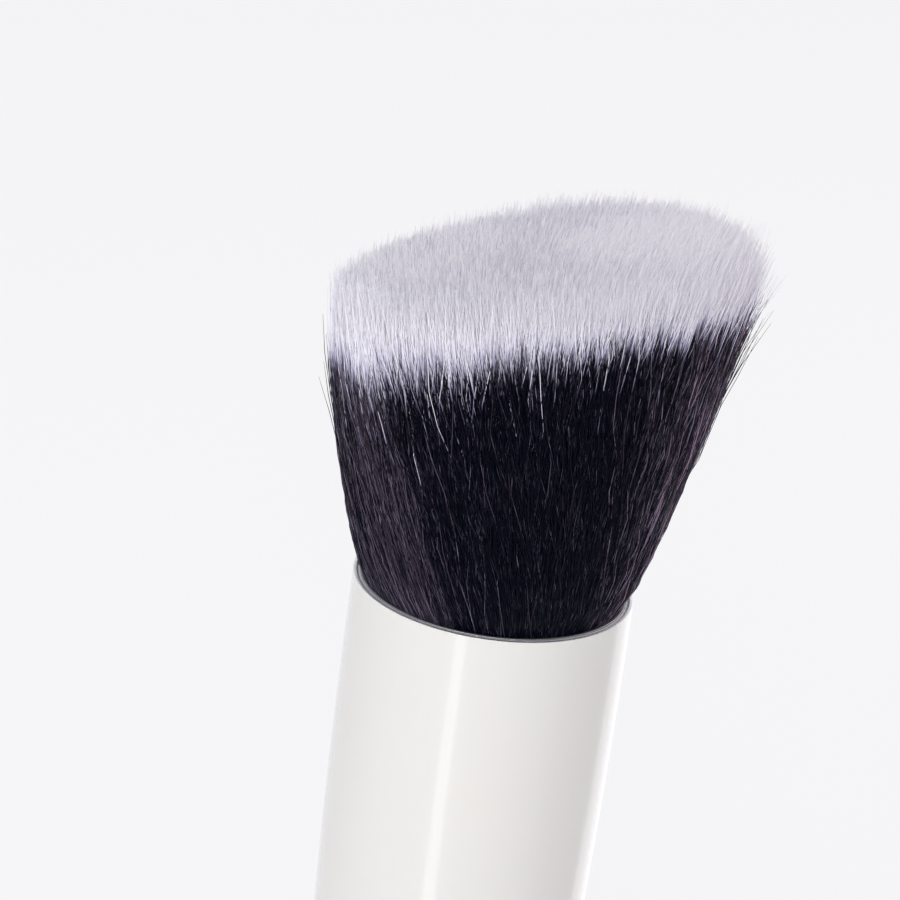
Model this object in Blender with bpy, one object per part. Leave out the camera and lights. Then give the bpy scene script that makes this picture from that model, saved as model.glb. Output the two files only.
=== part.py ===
"""Angled face brush: a slanted tuft of soft filaments in a white barrel-shaped body.

The brush stands upright on its foot. The origin is the centre of the foot, +Z runs up
the axis, and the long side of the slanted tuft faces +X. Every length is in metres.
An aluminium ferrule and a moulded handle share one barrel outline. The ferrule holds a
drawn cup with the tied and potted roots of the filaments, and the handle holds a steel
slug that gives the brush its weight.
"""

import math
import random

import bmesh
import bpy

# Body: one barrel outline runs over the ferrule and the handle.
BODY_HEIGHT = 0.0710
WIDEST_HEIGHT = 0.0623
WIDEST_RADIUS = 0.01205
FOOT_RADIUS = 0.0095
FOOT_ROUND = 0.0015
SEAT_GAP = 0.0003
WELD_DISTANCE = 0.000001

# Ferrule: a thin aluminium tube, lacquered outside, with its cut edge left bare.
FERRULE_LENGTH = 0.0360
FERRULE_WALL = 0.00032
RIM_BREAK = 0.00006

# Knot cup: a drawn aluminium cup inside the ferrule, flush with its rim.
CUP_DEPTH = 0.0180
CUP_WALL = 0.00027
CUP_FLOOR = 0.0005
CUP_CORNER = 0.0014

# Roots of the filaments: a tight bundle with a waist for the tie.
TIE_TOP_DEPTH = 0.0042
TIE_WAIST_RADIUS = 0.0096
ROOT_SLOPE_LENGTH = 0.0008
ROOT_END_RADIUS = 0.0099
ROOT_DEPTH = 0.0115

# Binding thread: a few turns round the waist, as one unbroken tube.
THREAD_DIAMETER = 0.0005
THREAD_SPACE = 0.0005
THREAD_TURNS = 4
THREAD_POINTS_PER_TURN = 24

# Resin that locks the roots into the cup.
RESIN_COLLAR_HEIGHT = 0.0020

# Tuft: how high, how wide and how slanted the filaments end.
TUFT_HEIGHT = 0.0305
TUFT_RADIUS = 0.0196
TUFT_SLANT_DEGREES = 14.5
TUFT_BOW_SHARE = 0.45
TUFT_EDGE_DROP = 0.0030
TUFT_EDGE_POWER = 6
LOW_SIDE_TUCK = 0.0016
LOW_SIDE_TUCK_POWER = 4
FILAMENT_RINGS = 8
FILAMENT_ROOT_INSET = 0.00010
FILAMENT_TWIST_DEGREES = 14
FILAMENT_LEVEL_SHARES = (0.42, 1.0)
FILAMENT_FILL_SHARES = (0.90, 0.72)
FILAMENT_TIP_SCATTER = 0.0005
FILAMENT_SEED = 7

# Handle: a moulded shell, cored from its tenon, with a pocket for the slug.
TENON_EDGE = 0.0008
TENON_WALL = 0.0020
GLUE_GROOVE_DEPTH = 0.0005
GLUE_GROOVE_WIDTH = 0.0018
GLUE_GROOVE_PITCH = 0.0060
GLUE_GROOVES = 2
HANDLE_FLOOR = 0.0040
CORE_STEP_RADIUS = 0.0081

# Slug and the disc that is pressed in over it.
SLUG_RADIUS = 0.0064
SLUG_LENGTH = 0.0200
SLUG_CHAMFER = 0.0006
RETAINER_THICKNESS = 0.0026
RETAINER_DISH_RADIUS = 0.0055
RETAINER_DISH_DEPTH = 0.0012

# How finely round pieces are divided.
TURNED_SIDES = 60
BARREL_STEPS = 6
CORNER_STEPS = 4
TIP_SOLVE_STEPS = 5
SHARP_ANGLE_DEGREES = 30


def clear_scene():
    """Remove every object that is already in the file."""
    for item in list(bpy.data.objects):
        bpy.data.objects.remove(item, do_unlink=True)


def material(name, colour, roughness, metallic):
    """Return a Principled material with one colour and finish."""
    finish = bpy.data.materials.new(name)
    finish.use_nodes = True
    shader = finish.node_tree.nodes["Principled BSDF"]
    shader.inputs["Base Color"].default_value = (*colour, 1)
    shader.inputs["Roughness"].default_value = roughness
    shader.inputs["Metallic"].default_value = metallic
    finish.diffuse_color = (*colour, 1)
    return finish


def add_object(name, data, seat, finish, brush):
    """Stand an object on its seat height, under the brush's own empty."""
    piece = bpy.data.objects.new(name, data)
    piece.location = (0, 0, seat)
    piece.parent = brush
    bpy.context.collection.objects.link(piece)
    data.materials.append(finish)
    return piece


def add_mesh(name, solid, seat, finish, brush):
    """Turn a closed bmesh into a smooth object whose faces point out."""
    bmesh.ops.recalc_face_normals(solid, faces=solid.faces)
    mesh = bpy.data.meshes.new(name)
    solid.to_mesh(mesh)
    solid.free()
    mesh.shade_smooth()
    mesh.set_sharp_from_angle(angle=math.radians(SHARP_ANGLE_DEGREES))
    return add_object(name, mesh, seat, finish, brush)


def turned(name, outline, seat, finish, brush):
    """Spin an outline of (radius, height) points round the axis into one closed body."""
    solid = bmesh.new()
    points = [solid.verts.new((radius, 0, height - seat)) for radius, height in outline]
    lines = [solid.edges.new(pair) for pair in zip(points, points[1:])]
    on_axis = outline[0][0] == 0 and outline[-1][0] == 0
    if not on_axis:
        lines.append(solid.edges.new((points[-1], points[0])))
    bmesh.ops.spin(
        solid,
        geom=points + lines,
        axis=(0, 0, 1),
        cent=(0, 0, 0),
        angle=2 * math.pi,
        steps=TURNED_SIDES,
        use_merge=True,
    )
    bmesh.ops.remove_doubles(solid, verts=solid.verts, dist=WELD_DISTANCE)
    return add_mesh(name, solid, seat, finish, brush)


def between(low, high, steps):
    """Return evenly spaced values from low to high, both included."""
    return [low + (high - low) * step / steps for step in range(steps + 1)]


def corner(centre_radius, centre_height, size, start_degrees, end_degrees):
    """Return (radius, height) points on an arc round a corner's centre."""
    turns = between(math.radians(start_degrees), math.radians(end_degrees), CORNER_STEPS)
    return [
        (centre_radius + size * math.cos(turn), centre_height + size * math.sin(turn))
        for turn in turns
    ]


def barrel_radius(height):
    """Outside radius of the body: a parabola that is widest a little below the mouth."""
    away = (height - WIDEST_HEIGHT) / WIDEST_HEIGHT
    return WIDEST_RADIUS - (WIDEST_RADIUS - FOOT_RADIUS) * away**2


# Heights and radii that two or more pieces share.
JOINT_HEIGHT = BODY_HEIGHT - FERRULE_LENGTH
TENON_RADIUS = barrel_radius(JOINT_HEIGHT) - FERRULE_WALL - SEAT_GAP
TENON_TOP = BODY_HEIGHT - CUP_DEPTH - SEAT_GAP
CUP_RADIUS = barrel_radius(BODY_HEIGHT) - FERRULE_WALL - SEAT_GAP
CUP_BORE_RADIUS = CUP_RADIUS - CUP_WALL
CUP_INNER_FLOOR = BODY_HEIGHT - CUP_DEPTH + CUP_FLOOR
ROOT_RADIUS = CUP_BORE_RADIUS - SEAT_GAP
ROOT_END_HEIGHT = BODY_HEIGHT - ROOT_DEPTH
TIE_TOP = BODY_HEIGHT - TIE_TOP_DEPTH
THREAD_PITCH = THREAD_DIAMETER + THREAD_SPACE
TIE_BOTTOM = TIE_TOP - THREAD_TURNS * THREAD_PITCH - THREAD_DIAMETER - 2 * SEAT_GAP
SLUG_FOOT = HANDLE_FLOOR + SEAT_GAP
SLUG_TOP = SLUG_FOOT + SLUG_LENGTH
POCKET_RADIUS = SLUG_RADIUS + SEAT_GAP
POCKET_TOP = SLUG_TOP
RETAINER_FOOT = POCKET_TOP + SEAT_GAP
RETAINER_RADIUS = CORE_STEP_RADIUS - SEAT_GAP


def make_ferrule(finish, brush):
    """A thin barrel-shaped tube, open at both ends, with its rim edges broken."""
    heights = between(JOINT_HEIGHT, BODY_HEIGHT - RIM_BREAK, BARREL_STEPS)
    outside = [(barrel_radius(height), height) for height in heights]
    inside = [(barrel_radius(height) - FERRULE_WALL, height) for height in heights]
    rim_radius = barrel_radius(BODY_HEIGHT)
    rim = [
        (rim_radius - RIM_BREAK, BODY_HEIGHT),
        (rim_radius - FERRULE_WALL + RIM_BREAK, BODY_HEIGHT),
    ]
    turned("ferrule", outside + rim + inside[::-1], JOINT_HEIGHT, finish, brush)


def make_knot_cup(finish, brush):
    """A drawn cup: straight wall, rounded bottom corner and flat floor."""
    base = BODY_HEIGHT - CUP_DEPTH
    centre_radius = CUP_RADIUS - CUP_CORNER
    centre_height = base + CUP_CORNER
    inner_corner = CUP_CORNER - CUP_WALL
    inner_centre_height = CUP_INNER_FLOOR + inner_corner
    outline = [(0, base)]
    outline += corner(centre_radius, centre_height, CUP_CORNER, -90, 0)
    outline += [
        (CUP_RADIUS, BODY_HEIGHT - RIM_BREAK),
        (CUP_RADIUS - RIM_BREAK, BODY_HEIGHT),
        (CUP_BORE_RADIUS + RIM_BREAK, BODY_HEIGHT),
        (CUP_BORE_RADIUS, BODY_HEIGHT - RIM_BREAK),
    ]
    outline += corner(centre_radius, inner_centre_height, inner_corner, 0, -90)
    outline += [(0, CUP_INNER_FLOOR)]
    turned("knot_cup", outline, base, finish, brush)


def make_root_resin(finish, brush):
    """The potting resin: a plug with a shallow socket that the root ends stand in."""
    base = CUP_INNER_FLOOR + SEAT_GAP
    edge = CUP_CORNER
    socket_radius = ROOT_END_RADIUS + SEAT_GAP
    socket_floor = ROOT_END_HEIGHT - SEAT_GAP
    collar_top = socket_floor + RESIN_COLLAR_HEIGHT
    outline = [(0, base)]
    outline += corner(ROOT_RADIUS - edge, base + edge, edge, -90, 0)
    outline += [
        (ROOT_RADIUS, collar_top),
        (socket_radius, collar_top),
        (socket_radius, socket_floor),
        (0, socket_floor),
    ]
    turned("root_resin", outline, base, finish, brush)


def make_binding_thread(finish, brush):
    """A helix of thread round the waist, whose least gap to itself is measured."""
    path_radius = TIE_WAIST_RADIUS + SEAT_GAP + THREAD_DIAMETER / 2
    low = TIE_BOTTOM + SEAT_GAP + THREAD_DIAMETER / 2
    count = THREAD_TURNS * THREAD_POINTS_PER_TURN
    points = []
    for step in range(count + 1):
        turn = step / THREAD_POINTS_PER_TURN
        angle = 2 * math.pi * turn
        points.append(
            (path_radius * math.cos(angle), path_radius * math.sin(angle), turn * THREAD_PITCH)
        )
    curve = bpy.data.curves.new("binding_thread", "CURVE")
    curve.dimensions = "3D"
    curve.bevel_depth = THREAD_DIAMETER / 2
    curve.bevel_resolution = 1
    curve.use_fill_caps = True
    spline = curve.splines.new("POLY")
    spline.points.add(count)
    for place, point in zip(spline.points, points):
        place.co = (*point, 1)
    spline.use_smooth = True
    add_object("binding_thread", curve, low, finish, brush)
    half_turn = THREAD_POINTS_PER_TURN // 2
    apart = min(
        math.dist(first, second)
        for index, first in enumerate(points)
        for second in points[index + half_turn :]
    )
    print(f"binding_thread: least gap to itself {(apart - THREAD_DIAMETER) * 1000:.2f} mm")


def tuft_radius(height):
    """Radius of the outermost filaments at a height above the mouth."""
    share = height / TUFT_HEIGHT
    bowed = (1 + TUFT_BOW_SHARE) * share - TUFT_BOW_SHARE * share**2
    return ROOT_RADIUS + (TUFT_RADIUS - ROOT_RADIUS) * bowed


def tip_height(across, around):
    """Height above the mouth where a filament is cut, on a slanted plane with soft edges."""
    slope = math.tan(math.radians(TUFT_SLANT_DEGREES))
    height = TUFT_HEIGHT
    for _ in range(TIP_SOLVE_STEPS):
        reach = across * tuft_radius(height) * math.cos(around)
        height = TUFT_HEIGHT + reach * slope - TUFT_EDGE_DROP * across**TUFT_EDGE_POWER
    return height


def filament_place(across, around, height, tip):
    """Where a filament is at a height: it fans out, and short ones tuck in at the tip."""
    low_side = (1 - math.cos(around)) / 2
    tuck = LOW_SIDE_TUCK * low_side * (height / tip) ** LOW_SIDE_TUCK_POWER
    radius = across * (tuft_radius(height) - tuck)
    return radius * math.cos(around), radius * math.sin(around)


def root_disc(solid):
    """Divide a round disc into twisted rings of triangles, and return its outer edges."""
    rings = [[solid.verts.new((0, 0, 0))]]
    for ring in range(1, FILAMENT_RINGS + 1):
        radius = ROOT_RADIUS * ring / FILAMENT_RINGS
        count = 6 * ring
        twist = math.radians(FILAMENT_TWIST_DEGREES) * ring / FILAMENT_RINGS
        angles = [twist + 2 * math.pi * step / count for step in range(count)]
        rings.append(
            [solid.verts.new((radius * math.cos(a), radius * math.sin(a), 0)) for a in angles]
        )
    for ring in range(1, FILAMENT_RINGS + 1):
        inner = rings[ring - 1]
        outer = rings[ring]
        for sector in range(6):
            for step in range(ring):
                first = outer[sector * ring + step]
                second = outer[(sector * ring + step + 1) % len(outer)]
                near = inner[(sector * (ring - 1) + step) % len(inner)]
                solid.faces.new((first, second, near))
                if step < ring - 1:
                    beside = inner[(sector * (ring - 1) + step + 1) % len(inner)]
                    solid.faces.new((near, second, beside))
    return [edge for edge in solid.edges if edge.is_boundary]


def root_bundle(solid, edges):
    """Draw the disc's outer edges down the bundle's outline, and close its end."""
    outline = [
        (ROOT_RADIUS, TIE_TOP + ROOT_SLOPE_LENGTH),
        (TIE_WAIST_RADIUS, TIE_TOP),
        (TIE_WAIST_RADIUS, TIE_BOTTOM),
        (ROOT_END_RADIUS, TIE_BOTTOM - ROOT_SLOPE_LENGTH),
        (ROOT_END_RADIUS, ROOT_END_HEIGHT),
    ]
    for radius, height in outline:
        drawn = bmesh.ops.extrude_edge_only(solid, edges=edges)["geom"]
        edges = [item for item in drawn if isinstance(item, bmesh.types.BMEdge)]
        for corner_point in {vert for edge in edges for vert in edge.verts}:
            scale = radius / math.hypot(corner_point.co.x, corner_point.co.y)
            corner_point.co.x *= scale
            corner_point.co.y *= scale
            corner_point.co.z = height - BODY_HEIGHT
    bmesh.ops.contextual_create(solid, geom=edges)


def draw_filament(solid, cell, scatter):
    """Draw one cell of the disc up into a filament that ends on the slanted plane."""
    centre = cell.calc_center_median()
    across = math.hypot(centre.x, centre.y) / ROOT_RADIUS
    around = math.atan2(centre.y, centre.x)
    tip = tip_height(across, around) + scatter
    places = [
        (math.hypot(vert.co.x, vert.co.y) / ROOT_RADIUS, math.atan2(vert.co.y, vert.co.x))
        for vert in cell.verts
    ]
    for level, fill in zip(FILAMENT_LEVEL_SHARES, FILAMENT_FILL_SHARES):
        height = level * tip
        middle_x, middle_y = filament_place(across, around, height, tip)
        cell = bmesh.ops.extrude_discrete_faces(solid, faces=[cell])["faces"][0]
        for vert, (vert_across, vert_around) in zip(cell.verts, places):
            x, y = filament_place(vert_across, vert_around, height, tip)
            vert.co.x = middle_x + fill * (x - middle_x)
            vert.co.y = middle_y + fill * (y - middle_y)
            vert.co.z = height


def make_bristle_tuft(finish, brush):
    """Filaments that fan out from the mouth, all rising from one root bundle."""
    solid = bmesh.new()
    edges = root_disc(solid)
    cells = list(solid.faces)
    root_bundle(solid, edges)
    bmesh.ops.recalc_face_normals(solid, faces=solid.faces)
    bmesh.ops.inset_individual(
        solid, faces=cells, thickness=FILAMENT_ROOT_INSET, use_even_offset=True
    )
    chance = random.Random(FILAMENT_SEED)
    for cell in cells:
        draw_filament(solid, cell, chance.uniform(-1, 1) * FILAMENT_TIP_SCATTER)
    add_mesh("bristle_tuft", solid, BODY_HEIGHT, finish, brush)
    print(f"bristle_tuft: {len(cells)} filaments")


def tenon_side():
    """The tenon's outer side, from its top edge down to the shoulder, with glue grooves."""
    side = [(TENON_RADIUS - TENON_EDGE, TENON_TOP), (TENON_RADIUS, TENON_TOP - TENON_EDGE)]
    floor_radius = TENON_RADIUS - GLUE_GROOVE_DEPTH
    slope = GLUE_GROOVE_DEPTH
    for groove in range(1, GLUE_GROOVES + 1):
        middle = TENON_TOP - groove * GLUE_GROOVE_PITCH
        top = middle + GLUE_GROOVE_WIDTH / 2
        bottom = middle - GLUE_GROOVE_WIDTH / 2
        side += [
            (TENON_RADIUS, top),
            (floor_radius, top - slope),
            (floor_radius, bottom + slope),
            (TENON_RADIUS, bottom),
        ]
    return side


def make_handle_shell(finish, brush):
    """The moulded handle: barrel outside, grooved tenon, and a core open at the tenon."""
    shoulder = JOINT_HEIGHT - SEAT_GAP
    round_top = FOOT_ROUND
    round_centre_radius = barrel_radius(round_top) - FOOT_ROUND
    heights = between(shoulder, round_top, BARREL_STEPS)
    outline = [(0, HANDLE_FLOOR), (POCKET_RADIUS, HANDLE_FLOOR), (POCKET_RADIUS, POCKET_TOP)]
    outline += [(CORE_STEP_RADIUS, POCKET_TOP), (TENON_RADIUS - TENON_WALL, TENON_TOP)]
    outline += tenon_side()
    outline += [(TENON_RADIUS, shoulder)]
    outline += [(barrel_radius(height), height) for height in heights[:-1]]
    outline += corner(round_centre_radius, round_top, FOOT_ROUND, 0, -90)
    outline += [(0, 0)]
    turned("handle_shell", outline, 0, finish, brush)


def make_handle_weight(finish, brush):
    """A plain steel slug with both ends chamfered, standing in the handle's pocket."""
    outline = [
        (0, SLUG_FOOT),
        (SLUG_RADIUS - SLUG_CHAMFER, SLUG_FOOT),
        (SLUG_RADIUS, SLUG_FOOT + SLUG_CHAMFER),
        (SLUG_RADIUS, SLUG_TOP - SLUG_CHAMFER),
        (SLUG_RADIUS - SLUG_CHAMFER, SLUG_TOP),
        (0, SLUG_TOP),
    ]
    turned("handle_weight", outline, SLUG_FOOT, finish, brush)


def make_weight_retainer(finish, brush):
    """A dished disc, pressed into the core on the pocket's shoulder, over the slug."""
    top = RETAINER_FOOT + RETAINER_THICKNESS
    dish_floor = top - RETAINER_DISH_DEPTH
    outline = [
        (0, RETAINER_FOOT),
        (RETAINER_RADIUS, RETAINER_FOOT),
        (RETAINER_RADIUS, top),
        (RETAINER_DISH_RADIUS + RETAINER_DISH_DEPTH, top),
        (RETAINER_DISH_RADIUS, dish_floor),
        (0, dish_floor),
    ]
    turned("weight_retainer", outline, RETAINER_FOOT, finish, brush)


def main():
    clear_scene()
    brush = bpy.data.objects.new("angled_face_brush", None)
    bpy.context.collection.objects.link(brush)

    white_lacquer = material("white_lacquer", (0.86, 0.85, 0.83), 0.12, 0)
    white_plastic = material("white_plastic", (0.86, 0.85, 0.83), 0.18, 0)
    bare_aluminium = material("bare_aluminium", (0.72, 0.73, 0.75), 0.32, 1)
    amber_resin = material("amber_resin", (0.55, 0.42, 0.20), 0.20, 0)
    waxed_thread = material("waxed_thread", (0.80, 0.78, 0.72), 0.65, 0)
    dark_filament = material("dark_filament", (0.02, 0.018, 0.03), 0.40, 0)
    plain_steel = material("plain_steel", (0.48, 0.48, 0.50), 0.40, 1)
    grey_plastic = material("grey_plastic", (0.45, 0.45, 0.46), 0.50, 0)

    make_bristle_tuft(dark_filament, brush)
    make_binding_thread(waxed_thread, brush)
    make_root_resin(amber_resin, brush)
    make_knot_cup(bare_aluminium, brush)
    make_ferrule(white_lacquer, brush)
    make_handle_shell(white_plastic, brush)
    make_handle_weight(plain_steel, brush)
    make_weight_retainer(grey_plastic, brush)


main()
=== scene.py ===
# %% [markdown]
# # An angled face brush, dressed for a portrait
# The brush is already built as solids: a slanted tuft of filaments, a thin ferrule, a
# handle and the pieces inside them. This lesson gives it its looks. Tens of thousands of
# fine filaments take the place of a few hundred thick ones, the turned pieces get smooth
# surfaces, and every surface gets a finish made of nodes. All lengths are in metres, and
# +Z runs up the brush. We load the solids first, because every place is read from them.

import math

import bpy
import numpy as np
from mathutils import Matrix, Quaternion, Vector


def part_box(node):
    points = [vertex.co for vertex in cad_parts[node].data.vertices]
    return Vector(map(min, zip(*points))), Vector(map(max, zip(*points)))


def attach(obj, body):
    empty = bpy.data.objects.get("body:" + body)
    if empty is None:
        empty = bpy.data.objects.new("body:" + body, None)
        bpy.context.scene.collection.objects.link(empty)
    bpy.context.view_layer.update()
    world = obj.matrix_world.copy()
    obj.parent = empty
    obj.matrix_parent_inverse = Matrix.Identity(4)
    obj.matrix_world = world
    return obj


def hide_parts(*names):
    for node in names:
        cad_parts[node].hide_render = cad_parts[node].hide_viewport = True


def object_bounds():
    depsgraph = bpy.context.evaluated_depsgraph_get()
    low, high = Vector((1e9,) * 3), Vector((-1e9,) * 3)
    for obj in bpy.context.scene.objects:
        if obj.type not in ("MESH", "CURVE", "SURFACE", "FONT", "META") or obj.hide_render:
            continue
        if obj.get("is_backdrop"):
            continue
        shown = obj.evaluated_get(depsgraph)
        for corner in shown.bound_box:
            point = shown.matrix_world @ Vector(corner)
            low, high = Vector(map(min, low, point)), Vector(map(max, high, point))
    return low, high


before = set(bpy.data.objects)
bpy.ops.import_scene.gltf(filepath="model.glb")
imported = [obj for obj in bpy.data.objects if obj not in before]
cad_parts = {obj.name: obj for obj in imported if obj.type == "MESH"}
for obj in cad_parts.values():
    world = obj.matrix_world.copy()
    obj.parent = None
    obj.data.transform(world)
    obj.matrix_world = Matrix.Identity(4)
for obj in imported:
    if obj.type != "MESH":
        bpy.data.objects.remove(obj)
solids_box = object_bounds()
scene = bpy.context.scene

MILLIMETRE = 0.001
foot_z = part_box("handle_shell")[0].z
mouth_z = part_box("ferrule")[1].z
joint_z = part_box("ferrule")[0].z
tenon_top_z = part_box("handle_shell")[1].z
cup_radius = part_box("knot_cup")[1].x
cup_base_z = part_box("knot_cup")[0].z
widest_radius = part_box("ferrule")[1].x
print(f"mouth {mouth_z / MILLIMETRE:.1f} mm above the foot, joint at {joint_z / MILLIMETRE:.1f} mm")

# %% [markdown]
# ## Meshes from numbers
# A turned piece is a small outline carried round the axis, and a filament is a small
# triangle carried along a line. Both are grids of points that numpy works out at once, so
# no loop visits single vertices. The other way would be a modifier for each piece, but
# arrays give us the exact outline, and they are quick even for a million faces.

# %% A mesh from arrays of points and faces
def mesh_from_arrays(name, points, face_groups, corner_uvs=None):
    """Make a smooth mesh object. points is (n, 3), and each face group is (m, 3) or (m, 4).

    The corners of all groups are laid end to end, so face k starts where the corner counts
    of the faces before it add up to.
    """
    corners = np.concatenate([group.reshape(-1) for group in face_groups]).astype(np.int32)
    totals = np.concatenate([np.full(len(group), group.shape[1]) for group in face_groups])
    starts = np.concatenate([[0], np.cumsum(totals)[:-1]]).astype(np.int32)
    mesh = bpy.data.meshes.new(name)
    mesh.vertices.add(len(points))
    mesh.vertices.foreach_set("co", np.asarray(points, np.float32).reshape(-1))
    mesh.loops.add(len(corners))
    mesh.loops.foreach_set("vertex_index", corners)
    mesh.polygons.add(len(totals))
    mesh.polygons.foreach_set("loop_start", starts)
    mesh.update(calc_edges=True)
    mesh.shade_smooth()
    if corner_uvs is not None:
        uv_map = mesh.uv_layers.new(name="OFBake")
        uv_map.data.foreach_set("uv", np.asarray(corner_uvs, np.float32).reshape(-1))
    piece = bpy.data.objects.new(name, mesh)
    scene.collection.objects.link(piece)
    return piece


def rounded(outline, radius, steps=4):
    """Round the inner corners of an open outline of (radius, height) points.

    At a corner B between A and C, the arc is drawn as a quadratic curve from a point on BA
    to a point on BC, both at the rounding length: P(t) = (1-t)^2 P0 + 2t(1-t) B + t^2 P1.
    """
    outline = np.asarray(outline, float)
    share = np.linspace(0, 1, steps + 1)[:, None]
    pieces = [outline[:1]]
    for before, at, after in zip(outline, outline[1:], outline[2:]):
        spans = [np.linalg.norm(other - at) for other in (before, after)]
        start = at + (before - at) / spans[0] * min(radius, spans[0] / 2)
        end = at + (after - at) / spans[1] * min(radius, spans[1] / 2)
        pieces.append((1 - share) ** 2 * start + 2 * share * (1 - share) * at + share**2 * end)
    pieces.append(outline[-1:])
    return np.concatenate(pieces)


# %% A turned piece from an outline
TURNED_COLUMNS = 192
SHARP_DEGREES = 35


def turned(name, outline, closed=False):
    """Carry an outline of (radius, height) points round Z and close the poles.

    Row i, column j is at (r_i cos t_j, r_i sin t_j, h_i) with t_j = 2 pi j / columns. An
    outline that is not closed starts and ends on the axis, where its row is one point.
    """
    outline = np.asarray(outline, float)
    turn = np.arange(TURNED_COLUMNS) / TURNED_COLUMNS * 2 * np.pi
    rows = outline if closed else outline[1:-1]
    ring = np.stack([np.cos(turn), np.sin(turn)], -1)
    heights = np.repeat(rows[:, None, 1:], TURNED_COLUMNS, 1)
    points = np.concatenate([rows[:, None, :1] * ring, heights], -1).reshape(-1, 3)
    index = np.arange(len(points)).reshape(-1, TURNED_COLUMNS)
    below = index if closed else index[:-1]
    above = np.roll(index, -1, 0) if closed else index[1:]
    quads = np.stack([below, np.roll(below, -1, 1), np.roll(above, -1, 1), above], -1)
    groups = [quads.reshape(-1, 4)]
    if not closed:
        poles = [[0, 0, outline[0, 1]], [0, 0, outline[-1, 1]]]
        first, last = len(points), len(points) + 1
        points = np.concatenate([points, poles])
        low, high = index[0], index[-1]
        groups.append(np.stack([np.roll(low, -1), low, np.full(len(low), first)], -1))
        groups.append(np.stack([high, np.roll(high, -1), np.full(len(high), last)], -1))
    return mesh_from_arrays(name, points, groups)


def sharpen(piece):
    """Keep edges sharp where faces meet at more than SHARP_DEGREES."""
    piece.data.set_sharp_from_angle(angle=math.radians(SHARP_DEGREES))
    return piece


def placed(piece, finish, slot, *nodes):
    """Give a piece its finish, its place on the brush's one body and the nodes it stands for."""
    piece.data.materials.append(finish)
    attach(piece, "root")
    if nodes:
        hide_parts(*nodes)
    count = len(piece.data.loops) - 2 * len(piece.data.polygons)
    print(f"{piece.name}: {count} triangles")


# %% [markdown]
# ## Finishes as expressions
# A finish is a graph of nodes, and a graph is hard to read as code. So a small class wraps
# a socket, and Python's own operators add Math nodes: `0.2 + clouds * 0.1` or `radius ** 2`
# reads as the sum that it is. Everything else comes from one method that adds any node.

# %% A wire that does sums, and a finish that adds nodes
class Wire:
    """A node's output that the operators +, * and ** can work on."""

    def __init__(self, finish, socket):
        self.finish = finish
        self.socket = socket

    def math(self, operation, other=0.0):
        return self.finish.add("ShaderNodeMath", {0: self, 1: other}, operation=operation)

    def __add__(self, other):
        return self.math("ADD", other)

    def __mul__(self, other):
        return self.math("MULTIPLY", other)

    def __pow__(self, power):
        return self.math("POWER", power)

    __radd__ = __add__
    __rmul__ = __mul__

    def step_between(self, low, high):
        """0 below low, 1 above high, and a smooth rise between them."""
        ends = {"Value": self, "From Min": low, "From Max": high}
        return self.finish.add("ShaderNodeMapRange", ends, interpolation_type="SMOOTHSTEP")


class Finish:
    """The nodes of one new material, or of a sky if the library of worlds is given."""

    def __init__(self, name, library=bpy.data.materials):
        self.owner = library.new(name)
        self.owner.use_nodes = True
        self.tree = self.owner.node_tree
        self.tree.nodes.clear()

    def node(self, kind, sockets=None, **settings):
        """Add a node of a kind, set its own settings first, and then fill its sockets."""
        node = self.tree.nodes.new(kind)
        for key, value in settings.items():
            setattr(node, key, value)
        for key, value in (sockets or {}).items():
            if isinstance(value, Wire):
                self.tree.links.new(value.socket, node.inputs[key])
            else:
                node.inputs[key].default_value = value
        return node

    def add(self, kind, sockets=None, output=0, **settings):
        """Add a node, and give back a wire from one of its outputs."""
        return Wire(self, self.node(kind, sockets, **settings).outputs[output])

    def spot(self):
        """The surface point in object coordinates."""
        return self.add("ShaderNodeTexCoord", output="Object")

    def split(self, vector):
        """The first two numbers of a vector."""
        node = self.node("ShaderNodeSeparateXYZ", {0: vector})
        return [Wire(self, node.outputs[axis]) for axis in "XY"]

    def noise(self, scale, detail=3.0, squash=(1, 1, 1)):
        """Noise between 0 and 1 in object space, squashed along the axes."""
        mapped = self.add("ShaderNodeMapping", {"Vector": self.spot(), "Scale": squash})
        sockets = {"Vector": mapped, "Scale": scale, "Detail": detail}
        return self.add("ShaderNodeTexNoise", sockets)

    def flat_noise(self, x, y):
        """Noise between 0 and 1 over two numbers of our own."""
        sockets = {"Vector": self.add("ShaderNodeCombineXYZ", {0: x, 1: y}), "Scale": 1.0}
        return self.add("ShaderNodeTexNoise", sockets, noise_dimensions="2D")

    def ramp(self, factor, stops):
        """A colour from a ramp of (place, colour) stops."""
        node = self.node("ShaderNodeValToRGB", {0: factor})
        elements = node.color_ramp.elements
        while len(elements) < len(stops):
            elements.new(1.0)
        for element, (place, colour) in zip(elements, stops):
            element.position = place
            element.color = (*colour, 1)
        return Wire(self, node.outputs[0])

    def mix(self, factor, first, second):
        """A colour between two colours. Plain colours are given as three numbers."""
        ends = [end if isinstance(end, Wire) else (*end, 1) for end in (first, second)]
        return self.add("ShaderNodeMix", {0: factor, 6: ends[0], 7: ends[1]}, 2, data_type="RGBA")

    def bump(self, height, distance):
        return self.add("ShaderNodeBump", {"Height": height, "Distance": distance})

    def close(self, shader, output="ShaderNodeOutputMaterial"):
        """Join the last shader to the output, and give back the material or sky."""
        self.node(output, {0: shader})
        print(f"finish {self.owner.name}: {len(self.tree.nodes)} nodes")
        return self.owner

    def done(self, **sockets):
        """Close with a Principled shader. Underscores in the names stand for spaces."""
        named = {key.replace("_", " "): value for key, value in sockets.items()}
        return self.close(self.add("ShaderNodeBsdfPrincipled", named))


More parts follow.
